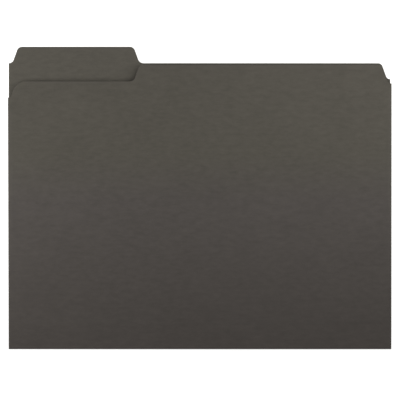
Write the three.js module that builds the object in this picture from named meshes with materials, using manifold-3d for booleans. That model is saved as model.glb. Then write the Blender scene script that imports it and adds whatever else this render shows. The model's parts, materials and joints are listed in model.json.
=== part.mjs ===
// Letter-size interior file folder: one die-cut sheet of coloured board, folded once at the bottom.
// Millimetres. It lies on its back panel with +Y towards the tab, +X to the right and +Z up.
// The front flap stands a little ajar, turned about the bottom fold.
import * as THREE from 'three';
import { mergeVertices } from 'three/addons/utils/BufferGeometryUtils.js';
import Module from 'manifold-3d';

const wasm = await Module();
wasm.setup();

// Sheet and folder
const boardThickness = 0.28;
const folderWidth = 295.3;
const backHeight = 220.7;
const tabHeight = 12.7;
const frontHeight = 219.1;
const ajarAngle = THREE.MathUtils.degToRad(1.8);

// Bottom: the fold, and the scores pressed across the front flap above it
const foldedGap = 0.3;
const scorePitch = 6.35;
const scoreCount = 3;
const scoreClearance = 0.3;
const beadClearance = 0.3;

// Die-cut outline: every step between two levels leans by the same angle
const stepLean = THREE.MathUtils.degToRad(20);
const stepCornerRadius = 3.6;
const stepFootRadius = 4.5;
const tabRightAtMidHeight = 99;
const edgeLand = 0.4;
const backShoulderDrop = 12.7;
const undercutDepth = 12.7;
const undercutCornerRadius = 10;
const frontShoulderDrop = 14.6;
const frontFootRadius = 3.2;

// Worked out from the sizes above
const foldRadius = boardThickness + foldedGap / 2;
const overallHeight = backHeight + tabHeight;
const foldAxisY = foldRadius - overallHeight / 2;
const leftEdge = -folderWidth / 2;
const rightEdge = folderWidth / 2;
const firstScoreFromAxis = scorePitch - foldRadius;
const lastScoreFromAxis = scoreCount * scorePitch - foldRadius;
const panelStartFromAxis = foldRadius + beadClearance;
const frontTopFromLastScore = frontHeight - foldRadius - lastScoreFromAxis;

// A leaning step is run over sideways while it climbs, and its foot arc takes up a flat stretch.
const leanRun = (climb) => climb * Math.tan(stepLean);
const arcRun = (radius) => radius * Math.tan((Math.PI / 2 - stepLean) / 2);

// Closed outline through corners [x, y, radius], each corner rounded by an arc tangent to its two sides.
function roundedOutline(corners) {
  const shape = new THREE.Shape();
  corners.forEach(([x, y, radius], index) => {
    const corner = new THREE.Vector2(x, y);
    if (radius === 0) {
      if (index === 0) shape.moveTo(x, y);
      else shape.lineTo(x, y);
      return;
    }
    const [beforeX, beforeY] = corners[index - 1];
    const [afterX, afterY] = corners[(index + 1) % corners.length];
    const back = new THREE.Vector2(beforeX - x, beforeY - y).normalize();
    const ahead = new THREE.Vector2(afterX - x, afterY - y).normalize();
    const half = Math.acos(back.dot(ahead)) / 2;
    const middle = back.clone().add(ahead).normalize();
    const centre = corner.clone().addScaledVector(middle, radius / Math.sin(half));
    const start = corner.clone().addScaledVector(back, radius / Math.tan(half)).sub(centre);
    const end = corner.clone().addScaledVector(ahead, radius / Math.tan(half)).sub(centre);
    const clockwise = back.cross(ahead) > 0;
    shape.absarc(centre.x, centre.y, radius, start.angle(), end.angle(), clockwise);
  });
  return shape;
}

// The sheet's section across the folder, from one pressed edge to the other.
// Board is squeezed round where a crease presses it, so a pressed edge is a half round.
function sheetSection(startY, endY) {
  const edgeRadius = boardThickness / 2;
  const section = new THREE.Shape();
  section.absarc(startY + edgeRadius, 0, edgeRadius, Math.PI / 2, (3 * Math.PI) / 2, false);
  section.absarc(endY - edgeRadius, 0, edgeRadius, -Math.PI / 2, Math.PI / 2, false);
  return section;
}

// A section drawn in Y and Z, run across the whole width of the folder.
function acrossFolder(section, curveSegments) {
  const geometry = new THREE.ExtrudeGeometry(section, {
    depth: folderWidth,
    bevelEnabled: false,
    curveSegments,
  });
  const toFolder = new THREE.Matrix4().makeBasis(
    new THREE.Vector3(0, 1, 0),
    new THREE.Vector3(0, 0, 1),
    new THREE.Vector3(1, 0, 0),
  );
  return geometry.applyMatrix4(toFolder).translate(leftEdge, 0, 0);
}

function toSolid(geometry) {
  geometry.deleteAttribute('normal');
  geometry.deleteAttribute('uv');
  const merged = mergeVertices(geometry);
  return new wasm.Manifold(new wasm.Mesh({
    numProp: 3,
    vertProperties: new Float32Array(merged.attributes.position.array),
    triVerts: new Uint32Array(merged.index.array),
  }));
}

function toGeometry(solid) {
  const mesh = solid.getMesh();
  const geometry = new THREE.BufferGeometry();
  geometry.setAttribute('position', new THREE.BufferAttribute(mesh.vertProperties, 3));
  geometry.setIndex(new THREE.BufferAttribute(mesh.triVerts, 1));
  geometry.computeVertexNormals();
  return geometry;
}

// A panel is the die-cut outline, met by the sheet's section with its pressed lower edge.
function dieCutPanel(corners, startY, topY) {
  const blank = new THREE.ExtrudeGeometry(roundedOutline(corners), {
    depth: 2 * boardThickness,
    bevelEnabled: false,
    curveSegments: 6,
  }).translate(0, 0, -boardThickness);
  const sheet = acrossFolder(sheetSection(startY, topY + 2 * boardThickness), 4);
  return toGeometry(toSolid(blank).intersect(toSolid(sheet)));
}

// Back panel, measured from the fold axis: a shoulder at the right and the tab at the left
function backPanelGeometry() {
  const bodyTop = backHeight - foldRadius;
  const tabTop = bodyTop + tabHeight;
  const shoulderFoot = rightEdge - edgeLand - arcRun(stepFootRadius);
  const tabLeftFoot = leftEdge + edgeLand + arcRun(stepFootRadius);
  const tabRightFoot = leftEdge + tabRightAtMidHeight + leanRun(tabHeight / 2);
  return dieCutPanel([
    [leftEdge, panelStartFromAxis, 0],
    [rightEdge, panelStartFromAxis, 0],
    [rightEdge, bodyTop - backShoulderDrop, 0],
    [shoulderFoot, bodyTop - backShoulderDrop, stepFootRadius],
    [shoulderFoot - leanRun(backShoulderDrop), bodyTop, stepCornerRadius],
    [tabRightFoot, bodyTop, stepFootRadius],
    [tabRightFoot - leanRun(tabHeight), tabTop, stepCornerRadius],
    [tabLeftFoot + leanRun(tabHeight), tabTop, stepCornerRadius],
    [tabLeftFoot, bodyTop, stepFootRadius],
    [leftEdge, bodyTop, 0],
  ], panelStartFromAxis, tabTop);
}

// Front panel, measured from the last score: a shoulder at each side and the undercut before the tab
function frontPanelGeometry() {
  const start = scoreClearance / 2;
  const top = frontTopFromLastScore;
  const undercut = top - undercutDepth;
  const rightFoot = rightEdge - edgeLand - arcRun(frontFootRadius);
  const leftFoot = leftEdge + edgeLand + arcRun(frontFootRadius);
  const undercutTop = leftEdge + tabRightAtMidHeight + leanRun(tabHeight / 2);
  return dieCutPanel([
    [leftEdge, start, 0],
    [rightEdge, start, 0],
    [rightEdge, top - frontShoulderDrop, 0],
    [rightFoot, top - frontShoulderDrop, frontFootRadius],
    [rightFoot - leanRun(frontShoulderDrop), top, stepCornerRadius],
    [undercutTop, top, stepCornerRadius],
    [undercutTop - leanRun(undercutDepth), undercut, stepFootRadius],
    [leftFoot + leanRun(frontShoulderDrop), undercut, undercutCornerRadius],
    [leftFoot, undercut - frontShoulderDrop, frontFootRadius],
    [leftEdge, undercut - frontShoulderDrop, 0],
  ], start, top);
}

// The bead of the bottom fold, where the plies part and roll as the sheet is folded on itself
function beadGeometry() {
  const round = new THREE.Shape();
  round.absarc(0, 0, foldRadius, 0, 2 * Math.PI, false);
  return acrossFolder(round, 8);
}

function namedMesh(name, geometry, colour) {
  const material = new THREE.MeshStandardMaterial({ color: colour, roughness: 0.85, metalness: 0 });
  const mesh = new THREE.Mesh(geometry, material);
  mesh.name = name;
  return mesh;
}

const group = new THREE.Group();

// The back panel lies on the ground plane, half a gap below the fold axis.
const backPanel = namedMesh('back_panel', backPanelGeometry(), 0x565249);
backPanel.position.set(0, foldAxisY, boardThickness / 2);
group.add(backPanel);

// All that turns about the bottom fold
const frontFlap = new THREE.Group();
frontFlap.position.set(0, foldAxisY, foldRadius);
frontFlap.rotation.x = ajarAngle;
frontFlap.add(namedMesh('bottom_fold', beadGeometry(), 0x46423e));
group.add(frontFlap);

// The sheet's middle plane in the flap, half a gap above the axis. Each score carries what is beyond it.
let carrier = new THREE.Group();
carrier.position.z = foldedGap / 2 + boardThickness / 2;
frontFlap.add(carrier);
for (let strip = 1; strip <= scoreCount; strip += 1) {
  const startY = strip === 1 ? panelStartFromAxis : scoreClearance / 2;
  const scoreY = strip === 1 ? firstScoreFromAxis : scorePitch;
  const section = sheetSection(startY, scoreY - scoreClearance / 2);
  carrier.add(namedMesh(`score_strip_${strip}`, acrossFolder(section, 4), 0x4b4743));
  const score = new THREE.Group();
  score.position.y = scoreY;
  carrier.add(score);
  carrier = score;
}
carrier.add(namedMesh('front_panel', frontPanelGeometry(), 0x534f48));

export default group;
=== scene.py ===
# File folder of coloured board: one die-cut sheet with a tab, folded once and scored along its foot
import json
import math

import bpy
import numpy as np
from mathutils import Matrix, Vector
from mathutils.geometry import delaunay_2d_cdt


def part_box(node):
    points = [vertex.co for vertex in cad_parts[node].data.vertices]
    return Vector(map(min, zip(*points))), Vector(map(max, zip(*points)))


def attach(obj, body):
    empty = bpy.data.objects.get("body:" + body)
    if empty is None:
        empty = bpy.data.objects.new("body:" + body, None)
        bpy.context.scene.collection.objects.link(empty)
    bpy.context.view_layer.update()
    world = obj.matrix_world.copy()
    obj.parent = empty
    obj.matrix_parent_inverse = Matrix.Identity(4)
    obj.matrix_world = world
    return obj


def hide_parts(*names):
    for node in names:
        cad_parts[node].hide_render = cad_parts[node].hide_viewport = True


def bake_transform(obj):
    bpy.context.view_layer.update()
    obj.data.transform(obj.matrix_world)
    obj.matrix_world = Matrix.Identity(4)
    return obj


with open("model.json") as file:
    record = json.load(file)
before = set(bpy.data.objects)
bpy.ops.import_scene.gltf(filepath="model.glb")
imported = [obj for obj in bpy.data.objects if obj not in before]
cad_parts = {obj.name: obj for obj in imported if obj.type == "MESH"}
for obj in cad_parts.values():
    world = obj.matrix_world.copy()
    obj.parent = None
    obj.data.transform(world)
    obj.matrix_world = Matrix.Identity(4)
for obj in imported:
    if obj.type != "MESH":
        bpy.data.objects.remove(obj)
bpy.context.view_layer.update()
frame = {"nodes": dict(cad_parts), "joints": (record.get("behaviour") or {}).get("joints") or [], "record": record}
joints = {joint["name"]: joint for joint in frame["joints"]}
print("frame loaded:", ", ".join(sorted(frame["nodes"])))

mm = 0.001
levelSlack = 1e-7  # heights that differ by less are one level
weldDistance = 1e-6
triangulationSlack = 1e-9
insideOnly = 1  # the triangulation keeps what lies inside the outline
sharpAngle = math.radians(50)


# The sheet, and where its fold and last score lie in the frame
foldLow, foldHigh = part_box("bottom_fold")
backLow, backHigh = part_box("back_panel")
foldPlace = Vector(joints["main_fold"]["pos_m"])
lastScorePlace = Vector(joints["score_3"]["pos_m"])

board = {
    "thickness": backHigh.z - backLow.z,
    "width": foldHigh.x - foldLow.x,
    "cutEdgeRound": 0.07 * mm,
    "wearHighlightBand": 0.9 * mm,
    "gridMarginRatio": 1.9,  # the grid's distance from the edge, in widths of the band of rubbing and painted highlight
    "gridStep": 3.6 * mm,
    "creaseSteps": 60,
}
halfBoard = board["thickness"] / 2
leftEdge, rightEdge = -board["width"] / 2, board["width"] / 2
rollRadius = (foldHigh.z - foldLow.z) / 2 - halfBoard
scoreReach = lastScorePlace - foldPlace
lastScoreRun = math.sqrt(scoreReach.length_squared - rollRadius**2)
creaseReach = backLow.y - foldPlace.y
ajarAngle = math.atan2(scoreReach.z, scoreReach.y) - math.atan2(rollRadius, lastScoreRun)

# Both panels are drawn from the fold: x along it, y up the panel, z out of the sheet's middle plane.
flapFrame = Matrix.Translation(foldPlace) @ Matrix.Rotation(ajarAngle, 4, "X")
flapFrame = flapFrame @ Matrix.Translation((0, 0, rollRadius))
backFrame = Matrix.Translation(foldPlace) @ Matrix.Translation((0, 0, -rollRadius))


# Die-cut outline: every step between two levels leans by the same angle
stepCut = {
    "lean": math.radians(20),
    "cornerRadius": 3.6 * mm,
    "footRadius": 4.5 * mm,
    "edgeLand": 0.4 * mm,
    "arcStep": 0.5 * mm,
    "fewestArcSteps": 4,
}


def leanRun(climb):
    return climb * math.tan(stepCut["lean"])


def arcRun(radius):
    return radius * math.tan((math.pi / 2 - stepCut["lean"]) / 2)


def roundedOutline(corners):
    # a corner is (x, y, radius), and a radius of 0 stays sharp
    points = []
    for index, (x, y, radius) in enumerate(corners):
        corner = Vector((x, y))
        if radius == 0:
            points.append(corner)
            continue
        back = (Vector(corners[index - 1][:2]) - corner).normalized()
        ahead = (Vector(corners[(index + 1) % len(corners)][:2]) - corner).normalized()
        half = back.angle(ahead) / 2
        centre = corner + (back + ahead).normalized() * radius / math.sin(half)
        start = corner + back * radius / math.tan(half) - centre
        end = corner + ahead * radius / math.tan(half) - centre
        first = math.atan2(start.y, start.x)
        sweep = (math.atan2(end.y, end.x) - first + math.pi) % (2 * math.pi) - math.pi
        steps = max(stepCut["fewestArcSteps"], math.ceil(abs(sweep) * radius / stepCut["arcStep"]))
        for step in range(steps + 1):
            turn = first + sweep * step / steps
            points.append(centre + Vector((math.cos(turn), math.sin(turn))) * radius)
    return points


def movedIn(outline, distance, startY):
    # the lower edge runs on into a crease, so its ends move along it only
    mitreLimit = 0.3  # a sharp corner moves by no more than the distance over this
    moved = []
    for index, point in enumerate(outline):
        before = (point - outline[index - 1]).normalized()
        after = (outline[(index + 1) % len(outline)] - point).normalized()
        inward = Vector((-before.y - after.y, before.x + after.x)).normalized()
        shift = inward * distance / max(mitreLimit, inward.dot(Vector((-before.y, before.x))))
        if abs(point.y - startY) < levelSlack:
            shift.y = 0
        moved.append(point + shift)
    return moved


def gridInside(outline, step, margin):
    ring = np.array([point[:] for point in outline])
    following = np.roll(ring, -1, axis=0)
    side = following - ring
    lowX, lowY = ring.min(0)
    highX, highY = ring.max(0)
    inside = []
    for x in np.linspace(lowX, highX, round((highX - lowX) / step) + 1)[1:-1]:
        for y in np.linspace(lowY, highY, round((highY - lowY) / step) + 1)[1:-1]:
            away = np.array([x, y]) - ring
            along = np.clip((away * side).sum(1) / (side * side).sum(1), 0, 1)
            gap = np.hypot(*(away - along[:, None] * side).T).min()
            crosses = (ring[:, 1] > y) != (following[:, 1] > y)
            with np.errstate(divide="ignore", invalid="ignore"):
                reach = ring[:, 0] + (y - ring[:, 1]) * side[:, 0] / side[:, 1]
            if gap > margin and (crosses & (x < reach)).sum() % 2:
                inside.append(Vector((x, y)))
    return inside


def smoothStep(value):
    value = min(1, max(0, value))
    return value * value * (3 - 2 * value)


def addObject(name, data):
    item = bpy.data.objects.new(name, data)
    bpy.context.scene.collection.objects.link(item)
    return item


def addPiece(name, mesh):
    mesh.shade_smooth()
    mesh.set_sharp_from_angle(angle=sharpAngle)
    return addObject(name, mesh)


def boardPiece(name, points, faces, place, material, cutFaces, wearHighlightShares=None):
    # cutFaces are the faces of the raw cut edge, and the last argument gives each point's share of rubbing and
    # painted highlight
    mesh = bpy.data.meshes.new(name)
    mesh.from_pydata([place @ Vector(point) for point in points], [], faces)
    mesh.materials.append(material)
    mesh.materials.append(cutEdgeBoard)
    for index in cutFaces:
        mesh.polygons[index].material_index = 1
    wearHighlightShare = mesh.attributes.new("edgeWearAndHighlight", "FLOAT", "POINT")
    wearHighlightShare.data.foreach_set("value", wearHighlightShares or [0.0] * len(points))
    piece = addPiece(name, mesh)
    mesh.validate()
    mesh.update()
    return piece


def dieCutSheet(name, corners, shape, place, material):
    # the sheet's two faces share one triangulation, and rows round its cut edge join them
    startY = corners[0][1]
    outline = roundedOutline(corners)
    ringSize = len(outline)
    faceRing = movedIn(outline, board["cutEdgeRound"], startY)
    # this ring ends the band of rubbing and painted highlight
    wearHighlightRing = movedIn(outline, board["wearHighlightBand"], startY)
    wearHighlightRing = [point for point in wearHighlightRing if point.y > startY + board["wearHighlightBand"] / 2]
    gridMargin = board["gridMarginRatio"] * board["wearHighlightBand"]
    flat = faceRing + wearHighlightRing + gridInside(outline, board["gridStep"], gridMargin)
    found = delaunay_2d_cdt(flat, [], [list(range(ringSize))], insideOnly, triangulationSlack)
    spots, triangles, origins = found[0], found[2], found[3]
    ringIndex = {source: index for index, sources in enumerate(origins) for source in sources}
    onRing = {index for source, index in ringIndex.items() if source < ringSize}
    count = len(spots)

    # points on the cut edge, away from the crease, take the rubbing and the painted highlight
    def rubbedAndLit(spot):
        return 1.0 if spot.y > startY + levelSlack else 0.0

    points = [(spot.x, spot.y, shape(spot.x, spot.y) + halfBoard) for spot in spots]
    points += [(spot.x, spot.y, shape(spot.x, spot.y) - halfBoard) for spot in spots]
    wearHighlightShares = [rubbedAndLit(spot) if index in onRing else 0.0 for index, spot in enumerate(spots)] * 2
    faces = [tuple(triangle) for triangle in triangles]
    faces += [tuple(index + count for index in reversed(triangle)) for triangle in triangles]

    rim = halfBoard - board["cutEdgeRound"]
    upper, lower = len(points), len(points) + ringSize
    points += [(spot.x, spot.y, shape(spot.x, spot.y) + rim) for spot in outline]
    points += [(spot.x, spot.y, shape(spot.x, spot.y) - rim) for spot in outline]
    wearHighlightShares += [rubbedAndLit(spot) for spot in outline] * 2
    cutFaces = []
    for here in range(ringSize):
        there = (here + 1) % ringSize
        topHere, topThere = ringIndex[here], ringIndex[there]
        edgeRows = [
            (topHere, upper + here, upper + there, topThere),
            (upper + here, lower + here, lower + there, upper + there),
            (lower + here, topHere + count, topThere + count, lower + there),
        ]
        if max(outline[here].y, outline[there].y) > startY + levelSlack:
            cutFaces += range(len(faces), len(faces) + len(edgeRows))
        faces += edgeRows
    return boardPiece(name, points, faces, place, material, cutFaces, wearHighlightShares)


def runAcross(name, section, place, material):
    # a closed section in y and z, run along the fold from edge to edge
    size, steps = len(section), board["creaseSteps"]
    points = []
    for step in range(steps + 1):
        x = leftEdge + board["width"] * step / steps
        points += [(x, y, z) for y, z in section]
    faces = []
    for step in range(steps):
        near, far = step * size, (step + 1) * size
        for here in range(size):
            there = (here + 1) % size
            faces.append((near + here, near + there, far + there, far + here))
    cutStart = len(faces)
    for column in range(size // 2 - 1):
        a, b, c, d = column, column + 1, size - 2 - column, size - 1 - column
        faces.append((a, d, c, b))
        faces.append(tuple(steps * size + index for index in (a, b, c, d)))
    return boardPiece(name, points, faces, place, material, range(cutStart, len(faces)))


# Node helpers, shared by the materials, the strips and the studio
def feed(tree, socket, value):
    # a socket takes another node's output, or a plain value
    if isinstance(value, bpy.types.NodeSocket):
        tree.links.new(value, socket)
    else:
        socket.default_value = value


def addNode(tree, kind, values):
    node = tree.nodes.new(kind)
    for label, value in values.items():
        feed(tree, node.inputs[label], value)
    return node


def calculate(tree, operation, *terms):
    node = addNode(tree, "ShaderNodeMath", dict(enumerate(terms)))
    node.operation = operation
    return node.outputs["Value"]


def rescale(tree, value, fromSpan, toSpan, interpolation="LINEAR"):
    limits = zip(("From Min", "From Max", "To Min", "To Max"), (*fromSpan, *toSpan))
    node = addNode(tree, "ShaderNodeMapRange", {"Value": value, **dict(limits)})
    node.interpolation_type = interpolation
    return node.outputs["Result"]


def mixColours(tree, blend, factor, first, second):
    node = tree.nodes.new("ShaderNodeMix")
    node.data_type = "RGBA"
    node.blend_type = blend
    inputs = {socket.identifier: socket for socket in node.inputs}
    feed(tree, inputs["Factor_Float"], factor)
    feed(tree, inputs["A_Color"], first)
    feed(tree, inputs["B_Color"], second)
    return {socket.identifier: socket for socket in node.outputs}["Result_Color"]


def colourRamp(tree, value, stops):
    # a stop is (position, colour)
    node = addNode(tree, "ShaderNodeValToRGB", {"Fac": value})
    elements = node.color_ramp.elements
    for position, _ in stops[1:-1]:  # the two end elements are there already
        elements.new(position)
    for element, (position, colour) in zip(elements, stops):
        element.position = position
        element.color = (*colour, 1)
    return node.outputs["Color"]


def emptyTree(owner):
    # a material's or a world's own tree, without the nodes that it starts with
    owner.use_nodes = True
    owner.node_tree.nodes.clear()
    return owner.node_tree


# Board: felted fibres, a faint grain along the folder and soft clouds in the dye
boardFinish = {
    "patterns": {  # scale is per metre, and a stretch below 1 draws a pattern out along the fold
        "fibres": {"scale": 900.0, "detail": 5, "stretch": 1.0, "share": 0.25},
        "grain": {"scale": 1500.0, "detail": 3, "stretch": 0.06, "share": 0.1},
        "streaks": {"scale": 340.0, "detail": 3, "stretch": 0.45, "share": 0.45},
        "clouds": {"scale": 26.0, "detail": 3, "stretch": 1.0, "share": 0.2},
    },
    "octaveShare": 0.6,
    "noiseSpan": (0.3, 0.7),
    "contrast": 0.19,
    "roughness": (0.8, 0.92),
    "specular": 0.28,
    "fibreDepth": 0.03 * mm,
    "panelBump": 0.35,
    "creaseBump": 0.5,
    "cutEdgeBump": 0.6,
    "insideTone": (0.93, 0.929, 0.973),
    "cutEdgeTone": (1.08, 1.08, 1.08),
    # the paler edge band: real rubbing, and a painted highlight as well
    "wearHighlightLift": 1.1,
    "wearHighlightReach": 1.5,
    "tintSpan": (-110 * mm, 34 * mm),
    "tintStops": (
        (0.0, (1.0, 0.972, 1.008)),
        (0.74, (1.0, 0.986, 1.036)),
        (1.0, (1.0, 1.016, 0.968)),
    ),
}


def patternNoise(tree, place, pattern):
    mapping = addNode(tree, "ShaderNodeMapping", {"Vector": place, "Scale": (pattern["stretch"], 1, 1)})
    texture = addNode(tree, "ShaderNodeTexNoise", {
        "Vector": mapping.outputs["Vector"],
        "Scale": pattern["scale"],
        "Detail": pattern["detail"],
        "Roughness": boardFinish["octaveShare"],
    })
    return texture.outputs["Fac"]


def tabToFootTint(tree, place):
    # the board's colour turns a little greener towards the tab and redder at the foot
    split = addNode(tree, "ShaderNodeSeparateXYZ", {"Vector": place})
    climb = rescale(tree, split.outputs["Y"], boardFinish["tintSpan"], (0, 1))
    return colourRamp(tree, climb, boardFinish["tintStops"])


def boardMaterial(name, colour, bump):
    def lifted(lift):
        return [part * lift for part in colour]

    material = bpy.data.materials.new(name)
    tree = emptyTree(material)
    place = tree.nodes.new("ShaderNodeTexCoord").outputs["Object"]
    noises, felt = {}, None
    for label, pattern in boardFinish["patterns"].items():
        noises[label] = patternNoise(tree, place, pattern)
        part = calculate(tree, "MULTIPLY", noises[label], pattern["share"])
        felt = part if felt is None else calculate(tree, "ADD", felt, part)

    low, high = boardFinish["noiseSpan"]
    contrast = boardFinish["contrast"]
    surfaceColour = colourRamp(tree, felt, ((low, lifted(1 - contrast)), (high, lifted(1 + contrast))))
    surfaceColour = mixColours(tree, "MULTIPLY", 1.0, surfaceColour, tabToFootTint(tree, place))

    # handling rubs the dye off the cut edges and leaves the paler fibres, and the same paler band is also a
    # painted highlight along the edges
    wearHighlightShare = tree.nodes.new("ShaderNodeAttribute")
    wearHighlightShare.attribute_name = "edgeWearAndHighlight"
    patchy = calculate(tree, "MULTIPLY", noises["clouds"], boardFinish["wearHighlightReach"])
    rubbedAndLit = calculate(tree, "MULTIPLY", wearHighlightShare.outputs["Fac"], patchy)
    surfaceColour = mixColours(tree, "MIX", rubbedAndLit, surfaceColour, (*lifted(boardFinish["wearHighlightLift"]), 1))

    relief = addNode(tree, "ShaderNodeBump", {
        "Strength": bump,
        "Distance": boardFinish["fibreDepth"],
        "Height": felt,
    })
    shader = addNode(tree, "ShaderNodeBsdfPrincipled", {
        "Base Color": surfaceColour,
        "Roughness": rescale(tree, noises["fibres"], boardFinish["noiseSpan"], boardFinish["roughness"]),
        "Specular IOR Level": boardFinish["specular"],
        "Normal": relief.outputs["Normal"],
    })
    addNode(tree, "ShaderNodeOutputMaterial", {"Surface": shader.outputs["BSDF"]})
    return material


def slotColour(slot, tones=(1, 1, 1)):
    colours = {part["slot"]: part["base_color"] for part in frame["record"]["materials"]}
    return [part * tone for part, tone in zip(colours[slot], tones)]


insideColour = slotColour("board_inside", boardFinish["insideTone"])
cutEdgeColour = slotColour("board_inside", boardFinish["cutEdgeTone"])
outsideBoard = boardMaterial("outsideBoard", slotColour("board_outside"), boardFinish["panelBump"])
insideBoard = boardMaterial("insideBoard", insideColour, boardFinish["panelBump"])
creasedBoard = boardMaterial("creasedBoard", slotColour("board_crease"), boardFinish["creaseBump"])
cutEdgeBoard = boardMaterial("cutEdgeBoard", cutEdgeColour, boardFinish["cutEdgeBump"])
print("board materials made")


# Back panel: lies on the table with a slight wave, and carries the tab
backSheet = {
    "bodyHeight": 220.7 * mm,
    "tabHeight": 12.7 * mm,
    "tabRightAtMidHeight": 98.65 * mm,
    "tabCornerRadius": 4.2 * mm,
    "tabLeftLand": 0.05 * mm,
    "tabLeftRadius": 3.9 * mm,
    "shoulderDrop": 12.3 * mm,
    "shoulderFootRadius": 3.24 * mm,
    "shoulderLand": 0.1 * mm,
    "rightTaper": 0.78 * mm,
    "waveStart": 60 * mm,
    "waveHeight": 0.12 * mm,
    "waveLength": 130 * mm,
    "waveSkewX": 0.4,
    "waveSkewY": 0.3,
}


def backWave(x, y):
    # two slanting waves cross, and together they stay between 0 and the full height
    turn = 2 * math.pi / backSheet["waveLength"]
    across = math.sin(turn * (x + backSheet["waveSkewX"] * y))
    along = math.cos(turn * (backSheet["waveSkewY"] * x - y))
    return smoothStep(y / backSheet["waveStart"]) * backSheet["waveHeight"] * (2 + across + along) / 4


def makeBackSheet():
    bodyTop = backSheet["bodyHeight"] - rollRadius - halfBoard
    tabTop = bodyTop + backSheet["tabHeight"]
    tabLean = leanRun(backSheet["tabHeight"])
    shoulderLevel = bodyTop - backSheet["shoulderDrop"]
    rightSide = rightEdge - backSheet["rightTaper"]
    shoulderFoot = rightSide - backSheet["shoulderLand"] - arcRun(backSheet["shoulderFootRadius"])
    tabLeftFoot = leftEdge + backSheet["tabLeftLand"] + arcRun(backSheet["tabLeftRadius"])
    tabRightFoot = leftEdge + backSheet["tabRightAtMidHeight"] + tabLean / 2
    corners = [
        (leftEdge, creaseReach, 0),
        (rightEdge, creaseReach, 0),
        (rightSide, shoulderLevel, 0),
        (shoulderFoot, shoulderLevel, backSheet["shoulderFootRadius"]),
        (shoulderFoot - leanRun(backSheet["shoulderDrop"]), bodyTop, stepCut["cornerRadius"]),
        (tabRightFoot, bodyTop, stepCut["footRadius"]),
        (tabRightFoot - tabLean, tabTop, backSheet["tabCornerRadius"]),
        (tabLeftFoot + tabLean, tabTop, backSheet["tabCornerRadius"]),
        (tabLeftFoot, bodyTop, backSheet["tabLeftRadius"]),
        (leftEdge, bodyTop, 0),
    ]
    piece = dieCutSheet("backPanelSheet", corners, backWave, backFrame, insideBoard)
    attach(piece, "back_panel")
    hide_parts("back_panel")


makeBackSheet()
print("back panel made")


# Scores: three lines pressed into the outer face across the foot of the front flap
scores = {
    "pitch": 6.35 * mm,
    "count": 3,
    "depth": 0.02 * mm,
    "halfWidth": 0.45 * mm,
    "lastCreaseHalfWidth": 0.6 * mm,
    "stripColumns": 61,
    "stripRows": 49,
    "lastCreaseSteps": 24,
}
scoreRuns = [lastScoreRun - scores["pitch"] * step for step in reversed(range(scores["count"]))]
lastCreaseStart = lastScoreRun - scores["lastCreaseHalfWidth"]
lastCreaseEnd = lastScoreRun + scores["lastCreaseHalfWidth"]


def scorePress(distance):
    return -scores["depth"] * math.exp(-((distance / scores["halfWidth"]) ** 2))


def stripInputs(tree):
    sizes = ("Width", "Start", "End", "Thickness")
    presses = ("Score Depth", "Score Half Width", "Start Press", "End Press")
    kinds = {"Geometry": "NodeSocketGeometry"}
    kinds.update({label: "NodeSocketFloat" for label in sizes + presses})
    kinds.update({label: "NodeSocketInt" for label in ("Columns", "Rows")})
    kinds.update({label: "NodeSocketMaterial" for label in ("Board", "Cut Edge")})
    for label, kind in kinds.items():
        tree.interface.new_socket(label, in_out="INPUT", socket_type=kind)
    tree.interface.new_socket("Geometry", in_out="OUTPUT", socket_type="NodeSocketGeometry")
    return tree.nodes.new("NodeGroupInput").outputs


def stripPress(tree, given, span):
    # each long edge sinks into its score, by the same curve on both sides of the line
    position = tree.nodes.new("GeometryNodeInputPosition").outputs["Position"]
    along = addNode(tree, "ShaderNodeSeparateXYZ", {"Vector": position}).outputs["Y"]
    halfSpan = calculate(tree, "MULTIPLY", span, 0.5)
    falls = []
    for side, amount in ((1.0, "Start Press"), (-1.0, "End Press")):
        distance = calculate(tree, "ADD", calculate(tree, "MULTIPLY", along, side), halfSpan)
        ratio = calculate(tree, "DIVIDE", distance, given["Score Half Width"])
        squared = calculate(tree, "MULTIPLY", ratio, ratio)
        fall = calculate(tree, "EXPONENT", calculate(tree, "MULTIPLY", squared, -1.0))
        falls.append(calculate(tree, "MULTIPLY", fall, given[amount]))
    return calculate(tree, "MULTIPLY", calculate(tree, "ADD", *falls), given["Score Depth"])


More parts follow.
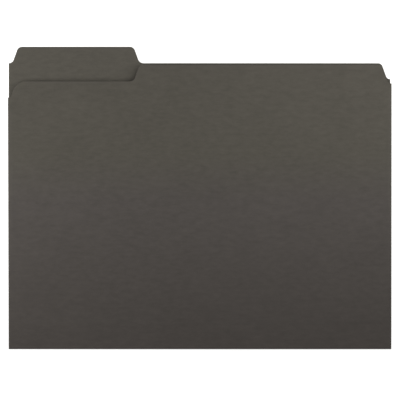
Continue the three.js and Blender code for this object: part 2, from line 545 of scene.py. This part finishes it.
def stripTree():
    tree = bpy.data.node_groups.new("pressedStrip", "GeometryNodeTree")
    given = stripInputs(tree)
    span = calculate(tree, "SUBTRACT", given["End"], given["Start"])
    middle = calculate(tree, "MULTIPLY", calculate(tree, "ADD", given["End"], given["Start"]), 0.5)
    grid = addNode(tree, "GeometryNodeMeshGrid", {
        "Size X": given["Width"],
        "Size Y": span,
        "Vertices X": given["Columns"],
        "Vertices Y": given["Rows"],
    })
    sink = calculate(tree, "MULTIPLY", stripPress(tree, given, span), -1.0)
    lower = calculate(tree, "SUBTRACT", sink, calculate(tree, "MULTIPLY", given["Thickness"], 0.5))
    offset = addNode(tree, "ShaderNodeCombineXYZ", {"Y": middle, "Z": lower})
    sunk = addNode(tree, "GeometryNodeSetPosition", {
        "Geometry": grid.outputs["Mesh"],
        "Offset": offset.outputs["Vector"],
    }).outputs["Geometry"]

    # the sheet's thickness, closed by the turned-over lower face
    up = addNode(tree, "ShaderNodeCombineXYZ", {"Z": given["Thickness"]})
    thick = addNode(tree, "GeometryNodeExtrudeMesh", {
        "Mesh": sunk,
        "Offset": up.outputs["Vector"],
        "Offset Scale": 1.0,
        "Individual": False,
    })
    under = addNode(tree, "GeometryNodeFlipFaces", {"Mesh": sunk})
    both = addNode(tree, "GeometryNodeJoinGeometry", {"Geometry": thick.outputs["Mesh"]})
    tree.links.new(under.outputs["Mesh"], both.inputs["Geometry"])
    closed = addNode(tree, "GeometryNodeMergeByDistance", {
        "Geometry": both.outputs["Geometry"],
        "Distance": weldDistance,
    })

    realised = addNode(tree, "GeometryNodeRealizeInstances", {"Geometry": closed.outputs["Geometry"]})
    faced = addNode(tree, "GeometryNodeSetMaterial", {
        "Geometry": realised.outputs["Geometry"],
        "Material": given["Board"],
    })
    normal = tree.nodes.new("GeometryNodeInputNormal").outputs["Normal"]
    sideways = addNode(tree, "ShaderNodeSeparateXYZ", {"Vector": normal}).outputs["X"]
    endFacing = 0.7  # the ends of the strip face more along the fold than this
    edged = addNode(tree, "GeometryNodeSetMaterial", {
        "Geometry": faced.outputs["Geometry"],
        "Selection": calculate(tree, "GREATER_THAN", calculate(tree, "ABSOLUTE", sideways), endFacing),
        "Material": given["Cut Edge"],
    })
    result = tree.nodes.new("NodeGroupOutput")
    tree.links.new(edged.outputs["Geometry"], result.inputs["Geometry"])
    return tree


def stripMesh(tree, name, values):
    # the tree runs on a throwaway object, and its result becomes a plain mesh
    inputs = [item for item in tree.interface.items_tree if item.in_out == "INPUT"]
    identifiers = {item.name: item.identifier for item in inputs}
    carrier = addObject(name + "Tree", bpy.data.meshes.new(name + "Tree"))
    modifier = carrier.modifiers.new("pressedStrip", "NODES")
    modifier.node_group = tree
    for label, value in values.items():
        modifier[identifiers[label]] = value
    carrier.update_tag()
    shown = carrier.evaluated_get(bpy.context.evaluated_depsgraph_get())
    mesh = bpy.data.meshes.new_from_object(shown)
    bpy.data.objects.remove(carrier)
    mesh.name = name
    if mesh.materials[0] is None:  # the grid's own empty slot
        mesh.materials.pop(index=0)
    return mesh


def makeStrips():
    tree = stripTree()
    starts = [creaseReach] + scoreRuns[:-1]
    ends = scoreRuns[:-1] + [lastCreaseStart]
    for index, (start, end) in enumerate(zip(starts, ends), 1):
        name = f"scoreStrip{index}"
        mesh = stripMesh(tree, name, {
            "Width": board["width"],
            "Start": start,
            "End": end,
            "Thickness": board["thickness"],
            "Score Depth": scores["depth"],
            "Score Half Width": scores["halfWidth"],
            "Start Press": 0.0 if index == 1 else 1.0,
            "End Press": 1.0 if index < scores["count"] else 0.0,
            "Columns": scores["stripColumns"],
            "Rows": scores["stripRows"],
            "Board": outsideBoard,
            "Cut Edge": cutEdgeBoard,
        })
        mesh.transform(flapFrame)
        piece = addPiece(name, mesh)
        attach(piece, "bottom_strips")
        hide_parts(f"score_strip_{index}")


makeStrips()
print("score strips made")


# Last score: a narrow crease of its own
def makeLastScore():
    steps = scores["lastCreaseSteps"]
    reach = lastCreaseEnd - lastCreaseStart
    runs = [lastCreaseStart + reach * step / steps for step in range(steps + 1)]
    under = [(run, scorePress(run - lastScoreRun) - halfBoard) for run in runs]
    over = [(run, scorePress(run - lastScoreRun) + halfBoard) for run in reversed(runs)]
    piece = runAcross("lastScoreCrease", under + over, flapFrame, outsideBoard)
    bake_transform(piece)


makeLastScore()
print("last score made")


# Front panel: stands a little ajar and bows outwards, with the undercut before the tab
frontSheet = {
    "height": 219.0 * mm,
    "undercutDepth": 12.7 * mm,
    "undercutRadius": 10.5 * mm,
    "undercutRightAtMidDepth": 99 * mm,
    "rightDrop": 14.2 * mm,
    "rightFootRadius": 3.2 * mm,
    "rightTaper": 0.4 * mm,
    "leftDrop": 12.4 * mm,
    "leftFootRadius": 2.4 * mm,
    "bow": 0.3 * mm,
    "waveHeight": 0.12 * mm,
    "waveLength": 170 * mm,
    "waveSkew": 0.5,
}
frontTop = frontSheet["height"] - rollRadius - halfBoard


def frontBow(x, y):
    belly = math.sin(math.pi * smoothStep((y - lastScoreRun) / (frontTop - lastScoreRun)))
    wave = math.sin(2 * math.pi / frontSheet["waveLength"] * (x - frontSheet["waveSkew"] * y)) * belly
    return frontSheet["bow"] * belly + frontSheet["waveHeight"] * wave


def makeFrontSheet():
    undercut = frontTop - frontSheet["undercutDepth"]
    undercutLean = leanRun(frontSheet["undercutDepth"])
    undercutTop = leftEdge + frontSheet["undercutRightAtMidDepth"] + undercutLean / 2
    rightLevel = frontTop - frontSheet["rightDrop"]
    rightSide = rightEdge - frontSheet["rightTaper"]
    rightFoot = rightSide - stepCut["edgeLand"] - arcRun(frontSheet["rightFootRadius"])
    leftLevel = undercut - frontSheet["leftDrop"]
    leftFoot = leftEdge + stepCut["edgeLand"] + arcRun(frontSheet["leftFootRadius"])
    corners = [
        (leftEdge, lastCreaseEnd, 0),
        (rightEdge, lastCreaseEnd, 0),
        (rightSide, rightLevel, 0),
        (rightFoot, rightLevel, frontSheet["rightFootRadius"]),
        (rightFoot - leanRun(frontSheet["rightDrop"]), frontTop, stepCut["cornerRadius"]),
        (undercutTop, frontTop, stepCut["cornerRadius"]),
        (undercutTop - undercutLean, undercut, stepCut["footRadius"]),
        (leftFoot + leanRun(frontSheet["leftDrop"]), undercut, frontSheet["undercutRadius"]),
        (leftFoot, leftLevel, frontSheet["leftFootRadius"]),
        (leftEdge, leftLevel, 0),
    ]
    piece = dieCutSheet("frontPanelSheet", corners, frontBow, flapFrame, outsideBoard)
    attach(piece, "front_panel")
    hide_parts("front_panel")


makeFrontSheet()
print("front panel made")


# Bottom fold: the sheet rolls round in two quarters, each with the flat stretch up to its panel
fold = {
    "turnSteps": 12,
    "flatSteps": 8,
}


def rollSection(flatTurn, side):
    # side is 1 for the upper quarter, which starts flat, and -1 for the lower one, which ends flat
    along = Vector((math.sin(flatTurn), -math.cos(flatTurn))) * side
    outward = Vector((math.cos(flatTurn), math.sin(flatTurn)))
    line = []
    for step in range(fold["flatSteps"], 0, -1):
        line.append((outward * rollRadius + along * creaseReach * step / fold["flatSteps"], outward))
    for step in range(fold["turnSteps"] + 1):
        turn = flatTurn + (math.pi - flatTurn) * step / fold["turnSteps"]
        outward = Vector((math.cos(turn), math.sin(turn)))
        line.append((outward * rollRadius, outward))
    if side < 0:
        line.reverse()
    inner = [(point - outward * halfBoard)[:] for point, outward in line]
    outer = [(point + outward * halfBoard)[:] for point, outward in line]
    return outer + inner[::-1]


def makeFold():
    # the lower quarter meets the back panel, and the upper one meets the foot
    quarters = (
        ("foldRollUpper", math.pi / 2 + ajarAngle, 1, flapFrame, "bottom_strips"),
        ("foldRollLower", 3 * math.pi / 2, -1, backFrame, "back_panel"),
    )
    for name, flatTurn, side, panelFrame, body in quarters:
        section = rollSection(flatTurn, side)
        piece = runAcross(name, section, Matrix.Translation(foldPlace), creasedBoard)
        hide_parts("bottom_fold")
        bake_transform(piece)


makeFold()
print("bottom fold made")


# Table and light: a white floor that keeps the folder's shadow, and two soft strips of light
studio = {
    "floorSize": 6.0,
    "floorDrop": 0.05 * mm,
    "floorColour": (0.8, 0.8, 0.8),
    "glow": (0.62, 0.95),
    "glowRadius": (0.1, 0.34),
    "worldLight": 0.1,
    "stripWidth": 0.22,
    "strips": (  # end to end over the tab's half, with a gap above the left of the folder
        {"place": (-0.416, 0.051, 0.258), "length": 0.568, "power": 1.255},
        {"place": (0.347, 0.118, 0.258), "length": 0.706, "power": 1.255},
    ),
    "stripColour": (1.0, 0.985, 0.94),
}


def backgroundRay(tree):
    # white is shown to the camera and to shiny things, and adds no light to the folder
    paths = tree.nodes.new("ShaderNodeLightPath").outputs
    seen = calculate(tree, "MAXIMUM", paths["Is Camera Ray"], paths["Is Glossy Ray"])
    return calculate(tree, "MAXIMUM", seen, paths["Is Transmission Ray"])


def whiteTable():
    material = bpy.data.materials.new("whiteTable")
    tree = emptyTree(material)
    matte = addNode(tree, "ShaderNodeBsdfDiffuse", {"Color": (*studio["floorColour"], 1)})
    place = tree.nodes.new("ShaderNodeTexCoord").outputs["Object"]
    fromMiddle = addNode(tree, "ShaderNodeVectorMath", {0: place})
    fromMiddle.operation = "LENGTH"
    distance = fromMiddle.outputs["Value"]
    lift = rescale(tree, distance, studio["glowRadius"], studio["glow"], "SMOOTHSTEP")
    strength = calculate(tree, "MULTIPLY", backgroundRay(tree), lift)
    glow = addNode(tree, "ShaderNodeEmission", {"Strength": strength})
    both = addNode(tree, "ShaderNodeAddShader", {0: matte.outputs["BSDF"], 1: glow.outputs["Emission"]})
    addNode(tree, "ShaderNodeOutputMaterial", {"Surface": both.outputs["Shader"]})
    return material


def makeFloor():
    size = studio["floorSize"] / 2
    corners = [(-size, -size), (size, -size), (size, size), (-size, size)]
    mesh = bpy.data.meshes.new("tableTop")
    mesh.from_pydata([(x, y, -studio["floorDrop"]) for x, y in corners], [], [(0, 1, 2, 3)])
    mesh.materials.append(whiteTable())
    addObject("tableTop", mesh)


def makeWorld():
    world = bpy.data.worlds.new("softStudio")
    bpy.context.scene.world = world
    tree = emptyTree(world)
    white = (1, 1, 1, 1)
    light = addNode(tree, "ShaderNodeBackground", {"Color": white, "Strength": studio["worldLight"]})
    shown = addNode(tree, "ShaderNodeBackground", {"Color": white, "Strength": 1.0})
    mix = addNode(tree, "ShaderNodeMixShader", {
        0: backgroundRay(tree),
        1: light.outputs["Background"],
        2: shown.outputs["Background"],
    })
    addNode(tree, "ShaderNodeOutputWorld", {"Surface": mix.outputs["Shader"]})


def makeStripLights():
    for side, strip in zip(("Left", "Right"), studio["strips"]):
        lamp = bpy.data.lights.new("strip" + side, "AREA")
        lamp.shape = "RECTANGLE"
        lamp.size = strip["length"]
        lamp.size_y = studio["stripWidth"]
        lamp.energy = strip["power"]
        lamp.color = studio["stripColour"]
        holder = addObject("strip" + side, lamp)
        holder.location = strip["place"]
        holder.visible_camera = False


makeFloor()
makeWorld()
makeStripLights()
print("studio made")


# Camera: looks straight down, with the photograph's width at the fold
cameraSetup = {
    "distance": 1.5,
    "centre": (0.0, -1.6 * mm),
    "widthAtFold": 308.8 * mm,
    "sensor": 36.0,
    "clipStart": 0.01,
    "clipEnd": 20.0,
}


def makeCamera():
    lens = bpy.data.cameras.new("overheadCamera")
    lens.sensor_width = cameraSetup["sensor"]
    lens.lens = cameraSetup["sensor"] * cameraSetup["distance"] / cameraSetup["widthAtFold"]
    lens.clip_start = cameraSetup["clipStart"]
    lens.clip_end = cameraSetup["clipEnd"]
    holder = addObject("overheadCamera", lens)
    holder.location = (*cameraSetup["centre"], foldPlace.z + cameraSetup["distance"])
    bpy.context.scene.camera = holder


makeCamera()
bpy.context.scene.view_settings.view_transform = "Standard"
print("camera set")
